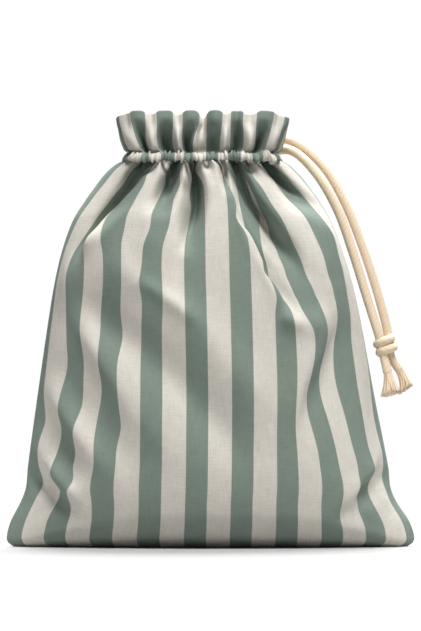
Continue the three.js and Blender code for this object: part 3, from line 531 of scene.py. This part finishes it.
def sidewaysTable(folds, slips, levels):  # where each place across lies from side to side, for every level
    steepest, tightest, loosest = 0.995, 0.85, 9
    places = np.linspace(-clothSettings["halfPanel"], clothSettings["halfPanel"], 501)
    step = places[1] - places[0]
    between = (places[1:] + places[:-1]) / 2
    depth = foldedDepth(places[None, :], levels[:, None], folds)
    slope = np.clip(np.abs(np.diff(depth, axis=1)) / step, 0, steepest)
    tucked = np.zeros((len(levels), len(between)))
    for fold in folds:
        strength, off = inFold(fold, between[None, :], levels[:, None])
        wide, tuck = fold[4], fold[7]
        tucked = tucked + strength * tuck / (wide * math.sqrt(math.pi))
    tucked = tucked * freedom(between[None, :], levels[:, None])
    cover = np.cumsum((np.sqrt(1 - slope ** 2) - tucked) * step, axis=1)
    cover = np.concatenate([np.zeros((len(levels), 1)), cover], axis=1)
    toMiddle = np.array([np.interp(clothSettings["paleMiddle"], places, row) for row in cover])
    run = cover - toMiddle[:, None]
    left, right, middle, slack = (columnAt(bodySections, column, levels)[:, None]
                                  for column in (bodyLeft, bodyRight, bodyMiddle, bodySlack))
    reach = np.where(run > 0, run[:, -1:], -run[:, :1])
    spare = np.where(run > 0, right - middle, middle - left) / reach - 1
    most = np.where(spare < 0, np.maximum(tightest / np.maximum(-spare, 1e-3) - 1, 0), loosest)
    slack = np.clip(slack, 0, most)
    sideways = middle + run * (1 + spare * (np.abs(run) / reach) ** slack)
    for across, height, wide, tall, slip in slips:
        near = np.exp(-((places[None, :] - across) / wide) ** 2 - ((levels[:, None] - height) / tall) ** 2)
        sideways = sideways + slip * near * freedom(places[None, :], levels[:, None])
    return places, sideways


def lookUp(places, levels, table, across, height):
    row = np.clip(np.searchsorted(levels, height, side="right") - 1, 0, len(levels) - 2)
    up = np.clip((height - levels[row]) / (levels[row + 1] - levels[row]), 0, 1)
    last = len(places) - 1
    at = np.clip((across - places[0]) / (places[-1] - places[0]) * last, 0, last - 1e-6)
    i = at.astype(int)
    s = at - i
    low = table[row, i] * (1 - s) + table[row, i + 1] * s
    high = table[row + 1, i] * (1 - s) + table[row + 1, i + 1] * s
    return low * (1 - up) + high * up


neckOval = {"power": 4.0, "ratio": 0.44, "aside": 0.004}


def ovalTable():  # half of the neck's squarish section, and the way round it
    angle = np.linspace(math.pi, 0, 1441)
    x = np.sign(np.cos(angle)) * np.abs(np.cos(angle)) ** (2 / neckOval["power"])
    y = np.clip(np.sin(angle), 0, 1) ** (2 / neckOval["power"])
    way = np.concatenate([[0], np.cumsum(np.hypot(np.diff(x), neckOval["ratio"] * np.diff(y)))])
    return way / way[-1], x, y


ovalWay, ovalX, ovalY = ovalTable()


def onOval(share, middle, halfWidth, halfDepth, out):
    share = np.clip(share, 0, 1)
    x, y = np.interp(share, ovalWay, ovalX), np.interp(share, ovalWay, ovalY)
    before, after = np.clip(share - neckOval["aside"], 0, 1), np.clip(share + neckOval["aside"], 0, 1)
    normalX = -(np.interp(after, ovalWay, ovalY) - np.interp(before, ovalWay, ovalY)) * halfDepth
    normalY = (np.interp(after, ovalWay, ovalX) - np.interp(before, ovalWay, ovalX)) * halfWidth
    size = np.hypot(normalX, normalY) + 1e-9
    return middle + halfWidth * x + normalX / size * out, halfDepth * y + normalY / size * out


def stripePhase(across):
    return (across - clothSettings["paleMiddle"]) / clothSettings["stripe"] * 2 * math.pi


def softRelief(rows, x, z, step=4.0):  # soft ridges and hollows, each along its line as seen from the front
    relief = np.zeros_like(x)
    for out, wideStart, wideEnd, fadeIn, fadeOut, *stops in rows:
        line = smoothRoute([(px, 0, pz) for px, pz in stops], step)[0][:, ::2]
        near = np.full(len(x), 1e9)
        at = np.zeros(len(x))
        for k, (start, end) in enumerate(zip(line, line[1:])):
            run = end - start
            share = np.clip(((x - start[0]) * run[0] + (z - start[1]) * run[1]) / np.dot(run, run), 0, 1)
            gap = (x - start[0] - share * run[0]) ** 2 + (z - start[1] - share * run[1]) ** 2
            closer = gap < near
            near = np.where(closer, gap, near)
            at = np.where(closer, (k + share) / (len(line) - 1), at)
        wide = wideStart + (wideEnd - wideStart) * at
        strength = (ease(at, -1e-6, fadeIn) if fadeIn else 1.0) * (1 - ease(at, 1 - fadeOut, 1.0))
        relief += out * strength * np.exp(-near / wide ** 2)
    return relief


pleatTopX, pleatFootX, pleatTopOut, pleatFootOut = range(1, 5)
frillDip = 10  # the last column of a frill's row


def pleatRows(rows):  # a pleat at each stripe's middle and where stripes meet
    top, foot = frillSections[-1], frillSections[frillSettings["footRow"]]
    pleats = [(-clothSettings["halfPanel"], top[frillLeft], foot[frillLeft], 0, 0)]
    for k, row in enumerate(rows):
        across, topX, topWide, topOut, topEdge, footX, footWide, _, footOut, footRight = row[:10]
        pleats.append((across, topX, footX, topOut, footOut))
        if k + 1 < len(rows):
            nextAcross, nextTop, nextTopWide, _, nextEdge, nextFoot, nextFootWide, nextLeft = rows[k + 1][:8]
            meet = (across + nextAcross) / 2 + frillSettings["narrower"] * (1 if k % 2 else -1)
            topMeet = (topX + topWide / 2 + nextTop - nextTopWide / 2) / 2
            footMeet = (footX + footWide / 2 + nextFoot - nextFootWide / 2) / 2
            pleats.append((meet, topMeet, footMeet, (topEdge + nextEdge) / 2, (footRight + nextLeft) / 2))
    return pleats + [(clothSettings["halfPanel"], top[frillRight], foot[frillRight], 0, 0)]


def pleatWays(pleats, column):  # how far round the oval each row lies
    low, high = pleats[0][column], pleats[-1][column]
    spread = [np.clip((2 * row[column] - low - high) / (high - low), -1, 1) for row in pleats]
    return [(row[0], float(np.interp(v, ovalX, ovalWay))) for row, v in zip(pleats, spread)]


def frillPlaces(across, height, rows):
    left, right = columnAt(frillSections, frillLeft, height), columnAt(frillSections, frillRight, height)
    depth = columnAt(frillSections, frillDepth, height)
    pleats = pleatRows(rows)
    up = ease(height, *frillSettings["spread"])
    footWay = columnAt(pleatWays(pleats, pleatFootX), 1, across)
    topWay = columnAt(pleatWays(pleats, pleatTopX), 1, across)
    way = footWay * (1 - up) + topWay * up
    seam = 1 - (np.abs(across) / clothSettings["halfPanel"]) ** 12
    foot = ease(height, *frillSettings["footIn"]) * (1 - ease(height, *frillSettings["footFade"]))
    top = ease(height, *frillSettings["topOut"])
    out = (columnAt(pleats, pleatFootOut, across) * foot + columnAt(pleats, pleatTopOut, across) * top) * seam
    x, y = onOval(way, (left + right) / 2, (right - left) / 2, depth, out)
    paleRows = [row for row in rows if row[frillDip]]
    dip = columnAt(paleRows, frillDip, np.clip(across, paleRows[0][0], paleRows[-1][0]))
    dip = dip * ease(np.cos(stripePhase(across)), *frillSettings["arch"])
    dip = np.maximum(dip, frillSettings["endDip"] * ease(np.abs(across), *frillSettings["endReach"]))
    return x, y, dip * ease(height, *frillSettings["dip"])


def baseBend(across):  # depth of the base, and the radius of its turn up into the wall
    base = plainDepth(across, np.zeros_like(across))
    return base, np.minimum(clothSettings["bend"], base * clothSettings["bendShare"])


def clothPlaces(across, up, drape):
    body, neck = clothSettings["bodyCloth"], clothSettings["neck"]
    base, bend = baseBend(across)
    bend = bend + 1e-6
    half = bend * math.pi / 4
    past = up - base
    turn = np.clip((past + half) / (2 * half), 0, 1) * math.pi / 2
    rise = bend * (1 - np.cos(turn)) + np.maximum(past - half, 0)
    inset = np.minimum(past, -half) + bend * np.sin(turn) - (bend - half)
    wall = body - base + bend - half
    height = np.where(up > body, neck + up - body, rise * neck / wall)
    inBody = np.minimum(height, neck)
    x = lookUp(*drape["table"], across, inBody)
    free = ease(clothSettings["halfPanel"] - np.abs(across), *clothSettings["seamHold"])
    free = free * ease(height, *clothSettings["baseHold"])
    free = free * (1 - ease(height - neck, *clothSettings["neckHold"]))
    y = foldedDepth(across, inBody, drape["folds"], True) + softRelief(drape["relief"], x, height) * free
    least = np.minimum(clothSettings["least"], plainDepth(across, inBody) * clothSettings["leastShare"])
    y = np.maximum(np.maximum(y, least) + np.minimum(inset, 0), 0)
    frillX, frillY, dip = frillPlaces(across, height, drape["frill"])
    mix = ease(height - neck, *clothSettings["frillMix"])
    x = x * (1 - mix) + frillX * mix
    y = y * (1 - mix) + np.maximum(frillY, 0) * mix
    return np.column_stack([x, -y, height - dip])


rowTable = [  # share of the rows, cloth used up to there
    (0, 3.3), (0.05, 20), (0.16, 52), (0.56, 224), (0.82, 292), (0.9, clothSettings["frillTop"]),
    (0.93, clothSettings["frillTop"] + 2.9), (1, clothSettings["hemEnd"]),
]


def panelPiece(name, folds, slips, relief, frill, facing):
    levels = np.linspace(225.2, clothSettings["neck"], 57)  # finer under the neck
    levels = np.concatenate([np.linspace(0, 225, 226), levels])
    places, sideways = sidewaysTable(folds, slips, levels)
    drape = {"table": (places, levels, sideways), "folds": folds, "relief": relief, "frill": frill}
    top, turn = clothSettings["frillTop"], clothSettings["hemTurn"]
    turned = top + math.pi * turn
    start, settled = rowTable[0][1], rowTable[1][1]
    edge, beside, above = clothSettings["halfPanel"], 0.4, 0.3  # steps that find which way the hem faces

    def shape(share, way):
        across = (share - 0.5) * 2 * edge
        up = np.interp(way, [row[0] for row in rowTable], [row[1] for row in rowTable])
        foot = baseBend(across)[1] * (1 - math.pi / 4)
        up = up - (start - foot) * (1 - ease(up, start, settled))  # the base closes along its seam
        on = np.where(up > turned, top - (up - turned), np.minimum(up, top))  # the hem comes down inside
        points = clothPlaces(across, on, drape)
        hem = up > top
        if hem.any():
            a, u = across[hem], np.minimum(on[hem], top - above)
            sideA = clothPlaces(np.clip(a + beside, -edge, edge), u, drape)
            sideB = clothPlaces(np.clip(a - beside, -edge, edge), u, drape)
            upward = clothPlaces(a, u + above, drape) - clothPlaces(a, u - above, drape)
            out = np.cross(sideA - sideB, upward)
            out /= np.linalg.norm(out, axis=1, keepdims=True)
            upward /= np.linalg.norm(upward, axis=1, keepdims=True)
            angle = np.clip((up[hem] - top) / turn, 0, math.pi)[:, None]
            points[hem] += -out * turn * (1 - np.cos(angle)) + upward * turn * np.sin(angle)
        points[:, 1] *= facing
        return points, np.column_stack([across / 100, up / 100])

    piece = gridPiece(name, clothSettings["columns"], clothSettings["rows"], shape)
    if facing < 0:
        piece.data.flip_normals()
    return piece


frontPanel = panelPiece("cloth_front", frontFolds, frontSlips, frontRelief, frontFrill, 1)
print("front cloth laid")
backPanel = panelPiece("cloth_back", backFolds, backSlips, backRelief, backFrill, -1)
print("back cloth laid")

# casing: a ring of puckered cloth round the neck
casingSettings = {
    "middle": -4.75,
    "height": 237.7,
    "halfWidth": 44.9,
    "halfDepth": 20.7,
    "halfHeight": 2.3,
    "halfThick": 0.6,
    "knuckles": 4.8,  # in each stripe's repeat
    "swell": 3.8,
    "lean": 1.3,  # the band faces a little upward
    "repeats": 9.2,  # stripes' repeats along each half
    "cells": 60,
    "sizes": (0.55, 1.12),
    "tilt": 0.6,
    "taper": 0.6,  # width of a knuckle at its top and foot
    "dome": 0.65,
    "rise": 1.2,
    "shift": 1.1,
    "columns": 1200,
    "rows": 28,
}
knuckleSizes = [random.uniform(*casingSettings["sizes"]) for k in range(casingSettings["cells"])]
knuckleTilts = [random.uniform(-1, 1) for k in range(casingSettings["cells"])]
knuckleLifts = [random.uniform(-1, 1) for k in range(casingSettings["cells"])]


def casingShape(around, section):
    settings = casingSettings
    turn = (around * 2) % 2
    front = turn <= 1
    share = np.where(front, turn, 2 - turn)
    ways = pleatWays(pleatRows(frontFrill), pleatFootX)
    across = np.interp(share, [way for key, way in ways], [key for key, way in ways])
    place = share * settings["repeats"] * settings["knuckles"]
    place = place + 0.22 * np.sin(place * 1.9) + 0.16 * np.sin(place * 0.83 + 1)  # some wide, some narrow
    cell = np.floor(place).astype(int) % settings["cells"]
    angle = section * 2 * math.pi
    off = 2 * (place - np.floor(place)) - 1
    off = off + settings["tilt"] * np.array(knuckleTilts)[cell] * np.sin(angle) * (1 - off * off)
    off = off / (settings["taper"] + (1 - settings["taper"]) * np.abs(np.cos(angle)))
    dome = np.clip(1 - off * off, 0, 1) ** settings["dome"]
    size = np.array(knuckleSizes)[cell] * dome
    outer = ease(np.cos(angle), -0.5, 0.6)
    out = (settings["halfThick"] + settings["swell"] * size * outer) * np.cos(angle)
    out = out - settings["lean"] * np.sin(angle) * outer
    lift = (settings["halfHeight"] + settings["rise"] * size) * np.sin(angle)
    lift = lift + settings["shift"] * np.array(knuckleLifts)[cell] * dome
    x, y = onOval(share, settings["middle"], settings["halfWidth"], settings["halfDepth"], out)
    places = np.column_stack([x, np.where(front, -y, y), settings["height"] + lift])
    return places, np.column_stack([across / 100, section * 0.2])


casingBand = gridPiece("casing_band", casingSettings["columns"], casingSettings["rows"], casingShape,
                       closed=True)
print("casing puckered")


# finishes
def feed(tree, node, values):  # each value is another node's output or a fixed setting
    for key, value in values.items():
        if hasattr(value, "links"):
            tree.links.new(value, node.inputs[key])
        else:
            node.inputs[key].default_value = value


def newMaterial(name, surface):
    material = bpy.data.materials.new(name)
    material.use_nodes = True
    tree = material.node_tree
    tree.nodes.clear()
    output = tree.nodes.new("ShaderNodeOutputMaterial")
    shader = tree.nodes.new("ShaderNodeBsdfPrincipled")
    tree.links.new(shader.outputs["BSDF"], output.inputs["Surface"])
    feed(tree, shader, surface)
    return material, tree, shader


def mathNode(tree, operation, *values):
    node = tree.nodes.new("ShaderNodeMath")
    node.operation = operation
    feed(tree, node, dict(enumerate(values)))
    return node.outputs[0]


def mixColour(tree, factor, a, b, blend="MIX"):
    node = tree.nodes.new("ShaderNodeMix")
    node.data_type = "RGBA"
    node.blend_type = blend
    feed(tree, node, {0: factor, 6: a, 7: b})
    return node.outputs[2]


def noiseNode(tree, vector, scale, detail, rough):
    node = tree.nodes.new("ShaderNodeTexNoise")
    feed(tree, node, {"Vector": vector, "Scale": scale, "Detail": detail, "Roughness": rough})
    return node.outputs["Fac"]


def clothNoise(tree, weave, stretch, detail, rough):
    node = tree.nodes.new("ShaderNodeMapping")
    feed(tree, node, {"Vector": weave, "Scale": stretch})
    return noiseNode(tree, node.outputs["Vector"], 1.0, detail, rough)


def fuzzNoise(tree, scale):
    place = tree.nodes.new("ShaderNodeTexCoord")
    return noiseNode(tree, place.outputs["Object"], scale, 3.0, 0.6)


def smoothStep(tree, value, low, high):
    node = tree.nodes.new("ShaderNodeMapRange")
    node.interpolation_type = "SMOOTHSTEP"
    feed(tree, node, {"Value": value, "From Min": low, "From Max": high})
    return node.outputs[0]


def weavePlace(tree):  # the place on the cloth or cord, whole and in its two parts
    uv = tree.nodes.new("ShaderNodeUVMap")
    uv.uv_map = "weave"
    split = tree.nodes.new("ShaderNodeSeparateXYZ")
    tree.links.new(uv.outputs["UV"], split.inputs[0])
    return uv.outputs["UV"], split.outputs["X"], split.outputs["Y"]


def dress(tree, shader, colour, height, settings):  # colour and bumps
    bump = tree.nodes.new("ShaderNodeBump")
    feed(tree, bump, {"Height": height, "Strength": settings["bump"], "Distance": settings["bumpHeight"]})
    feed(tree, shader, {"Base Color": colour, "Normal": bump.outputs["Normal"]})


stripedCotton = {
    "pale": (0.616, 0.585, 0.523, 1),
    "dark": (0.191, 0.241, 0.203, 1),
    "darkShare": 0.478,
    "soft": 0.008,  # blur each way from a stripe's edge, in repeats
    "wander": 0.3,  # millimetres that an edge strays each way
    "edgeNoise": (30, 400, 1),
    "upNoise": (150, 9, 1),  # fine from side to side, long up the cloth
    "sideNoise": (11, 130, 1),
    "cloudNoise": (16, 9, 1),
    "thread": 0.55,  # millimetres between threads
    "slub": 0.2,
    "cloud": 0.14,
    "weaveRelief": 0.35,
    "threadRelief": 1.2,
    "bump": 0.35,
    "bumpHeight": 0.00025,
    "surface": {"Roughness": 0.92, "Specular IOR Level": 0.2, "Sheen Weight": 0.12, "Sheen Roughness": 0.5},
}


def stripedMaterial(settings):
    material, tree, shader = newMaterial("striped_cotton_weave", settings["surface"])
    weave, across, _ = weavePlace(tree)
    pitch = clothSettings["stripe"] / 100
    stray = settings["wander"] / 100
    loose = clothNoise(tree, weave, settings["edgeNoise"], 2.0, 0.5)
    wander = mathNode(tree, "MULTIPLY_ADD", loose, 2 * stray, -stray)
    place = mathNode(tree, "ADD", across, wander)
    start = -clothSettings["paleMiddle"] / 100 / pitch
    turn = mathNode(tree, "MULTIPLY_ADD", place, 1 / pitch, start)
    near = mathNode(tree, "PINGPONG", turn, 0.5)  # 0 on the pale middle, 0.5 on the dark one
    edge = 0.5 - settings["darkShare"] / 2
    dark = smoothStep(tree, near, edge - settings["soft"], edge + settings["soft"])
    colour = mixColour(tree, dark, settings["pale"], settings["dark"])
    upThreads = clothNoise(tree, weave, settings["upNoise"], 4.0, 0.7)
    sideThreads = clothNoise(tree, weave, settings["sideNoise"], 4.0, 0.7)
    cloudy = clothNoise(tree, weave, settings["cloudNoise"], 3.0, 0.6)
    threads = mathNode(tree, "ADD", upThreads, sideThreads)
    shade = mathNode(tree, "MULTIPLY_ADD", threads, settings["slub"] * 2, 1 - settings["slub"] * 2)
    shade = mathNode(tree, "SUBTRACT", shade, settings["cloud"] / 2)
    shade = mathNode(tree, "MULTIPLY_ADD", cloudy, settings["cloud"], shade)
    grey = tree.nodes.new("ShaderNodeCombineColor")
    feed(tree, grey, {0: shade, 1: shade, 2: shade})
    colour = mixColour(tree, 1.0, colour, grey.outputs[0], "MULTIPLY")
    waves = []
    for direction in ("X", "Y"):
        wave = tree.nodes.new("ShaderNodeTexWave")
        wave.bands_direction = direction
        scale = 100 / settings["thread"] / 20 * 3.14  # two threads to a wave
        feed(tree, wave, {"Vector": weave, "Scale": scale, "Distortion": 1.5, "Detail Scale": 3})
        waves.append(wave.outputs["Fac"])
    crossed = mathNode(tree, "MULTIPLY", *waves)
    crossed = mathNode(tree, "MULTIPLY", crossed, settings["weaveRelief"])
    height = mathNode(tree, "MULTIPLY_ADD", threads, settings["threadRelief"], crossed)
    dress(tree, shader, colour, height, settings)
    return material


cottonCord = {
    # the cord's own colour, kept on the strands' crests
    "light": (0.83, 0.685, 0.515, 1),
    # painted shade: the colour each strand's sides darken to in the grooves between strands
    "shade": (0.6, 0.43, 0.265, 1),
    "tip": (0.83, 0.68, 0.5, 1),
    "yarns": 4,  # in a strand
    "grooveShadeMask": (0.26, 0.5),  # from a strand's crest, where painted shade darkens its side into the groove
    "paintedGrooveShade": 0.22,
    "speckle": 0.3,
    "fuzz": 900.0,
    "tipFuzz": 700.0,
    "yarnRelief": 0.7,
    "bump": 0.3,
    "bumpHeight": 0.0003,
    "surface": {"Roughness": 0.85, "Specular IOR Level": 0.2, "Sheen Weight": 0.15, "Sheen Roughness": 0.5},
    "tipSurface": {"Roughness": 0.88, "Specular IOR Level": 0.2, "Sheen Weight": 0.15},
}


def cordMaterial(settings):
    material, tree, shader = newMaterial("twisted_cotton_cord", settings["surface"])
    _, around, along = weavePlace(tree)
    turn = mathNode(tree, "MULTIPLY", along, 10 / cordSettings["turn"])
    lay = mathNode(tree, "SUBTRACT", around, turn)
    strand = mathNode(tree, "MULTIPLY", lay, cordSettings["strands"])
    strand = mathNode(tree, "PINGPONG", strand, 0.5)
    yarn = mathNode(tree, "MULTIPLY", lay, cordSettings["strands"] * settings["yarns"])
    yarn = mathNode(tree, "PINGPONG", yarn, 0.5)
    fuzz = fuzzNoise(tree, settings["fuzz"])
    # painted shade: deep darkens each strand's sides into the grooves between strands, plus random speckle
    grooveShadeMask = smoothStep(tree, strand, *settings["grooveShadeMask"])
    speckle = mathNode(tree, "MULTIPLY", fuzz, settings["speckle"])
    deep = mathNode(tree, "MULTIPLY_ADD", grooveShadeMask, settings["paintedGrooveShade"], speckle)
    colour = mixColour(tree, deep, settings["light"], settings["shade"])
    height = mathNode(tree, "MULTIPLY_ADD", yarn, settings["yarnRelief"], fuzz)
    dress(tree, shader, colour, height, settings)
    return material


def frayMaterial(settings):
    material, tree, shader = newMaterial("frayed_cotton", settings["tipSurface"])
    colour = mixColour(tree, fuzzNoise(tree, settings["tipFuzz"]), settings["light"], settings["tip"])
    tree.links.new(colour, shader.inputs["Base Color"])
    return material


clothFinish = stripedMaterial(stripedCotton)
cordFinish = cordMaterial(cottonCord)
frayFinish = frayMaterial(cottonCord)
for piece in (frontPanel, backPanel, casingBand):
    piece.data.materials.append(clothFinish)
for piece in (cordOuter, cordInner, knotPiece):
    piece.data.materials.append(cordFinish)
for piece in (frayLeft, frayRight):
    piece.data.materials.append(frayFinish)
print("finishes set")

# what stands for what
rideTable = [
    (frontPanel, ("front_panel",), "striped_cotton"),
    (backPanel, ("back_panel",), "striped_cotton"),
    (casingBand, ("casing",), "striped_cotton"),
    (cordOuter, ("cord_outer", "tail_right"), "cotton_cord"),
    (cordInner, ("cord_inner", "tail_left"), "cotton_cord"),
    (knotPiece, ("knot",), "cotton_cord"),
    (frayRight, ("fray_right",), "cotton_cord"),
    (frayLeft, ("fray_left",), "cotton_cord"),
]
for piece, nodes, slot in rideTable:
    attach(piece, "root")
    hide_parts(*nodes)

# floor and light
stageSettings = {
    "floorSurface": {"Base Color": (0.43, 0.43, 0.43, 1), "Roughness": 0.9, "Specular IOR Level": 0.1},
    "floorRadius": 0.42,
    "floorDrop": 0.0002,
    "backdrop": 1.02,  # what the camera sees behind
    "ambient": 0.13,  # what lights the pouch from above and all round
    "dark": -0.4,  # how far down it fades out
    "keyPlace": (0.3, -0.92, 2.15),  # high, in front and a little to the right
    "keySize": 1.15,
    "keyPower": 63.0,
    "fillPlace": (-0.3, -1.7, 0.3),  # low in front, to open the folds
    "fillSize": 0.9,
    "fillPower": 2.6,
    "topPlace": (0.1, 0.6, 1.54),  # above and behind, for the soft shadow in front
    "topSize": 0.95,
    "topPower": 54.0,
}


def makeFloor(settings):
    bm = bmesh.new()
    bmesh.ops.create_circle(bm, cap_ends=True, segments=96, radius=settings["floorRadius"])
    floor = addObject("studio_floor", meshFrom("studio_floor", bm))
    floor.location.z = -settings["floorDrop"]
    floor.data.materials.append(newMaterial("floor_paper", settings["floorSurface"])[0])


def areaLight(name, place, aim, size, power):
    lightData = bpy.data.lights.new(name, "AREA")
    lightData.shape = "DISK"
    lightData.size = size
    lightData.energy = power
    light = addObject(name, lightData)
    light.location = place
    light.rotation_euler = (Vector(aim) - Vector(place)).to_track_quat("-Z", "Y").to_euler()


def makeWorld(settings):
    world = bpy.data.worlds.new("studio")
    world.use_nodes = True
    tree = world.node_tree
    tree.nodes.clear()
    output = tree.nodes.new("ShaderNodeOutputWorld")
    rays = tree.nodes.new("ShaderNodeLightPath")
    mix = tree.nodes.new("ShaderNodeMixShader")
    toward = tree.nodes.new("ShaderNodeTexCoord")
    split = tree.nodes.new("ShaderNodeSeparateXYZ")
    tree.links.new(toward.outputs["Generated"], split.inputs[0])
    rise = tree.nodes.new("ShaderNodeMapRange")  # dim below, bright above
    feed(tree, rise, {"Value": split.outputs["Z"], "From Min": settings["dark"], "From Max": 1.0,
                      "To Min": 0.0, "To Max": settings["ambient"] * 2})
    around = tree.nodes.new("ShaderNodeBackground")
    feed(tree, around, {"Color": (1, 1, 1, 1), "Strength": rise.outputs[0]})
    backdrop = tree.nodes.new("ShaderNodeBackground")
    feed(tree, backdrop, {"Color": (1, 1, 1, 1), "Strength": settings["backdrop"]})
    feed(tree, mix, {0: rays.outputs["Is Camera Ray"], 1: around.outputs[0], 2: backdrop.outputs[0]})
    tree.links.new(mix.outputs[0], output.inputs["Surface"])
    bpy.context.scene.world = world


makeFloor(stageSettings)
for name, aimHeight in (("key", 0.13), ("fill", 0.12), ("top", 0.1)):
    areaLight(name + "_softbox", stageSettings[name + "Place"], (0, 0, aimHeight),
              stageSettings[name + "Size"], stageSettings[name + "Power"])
makeWorld(stageSettings)
bpy.context.scene.view_settings.view_transform = "Standard"
print("stage lit")
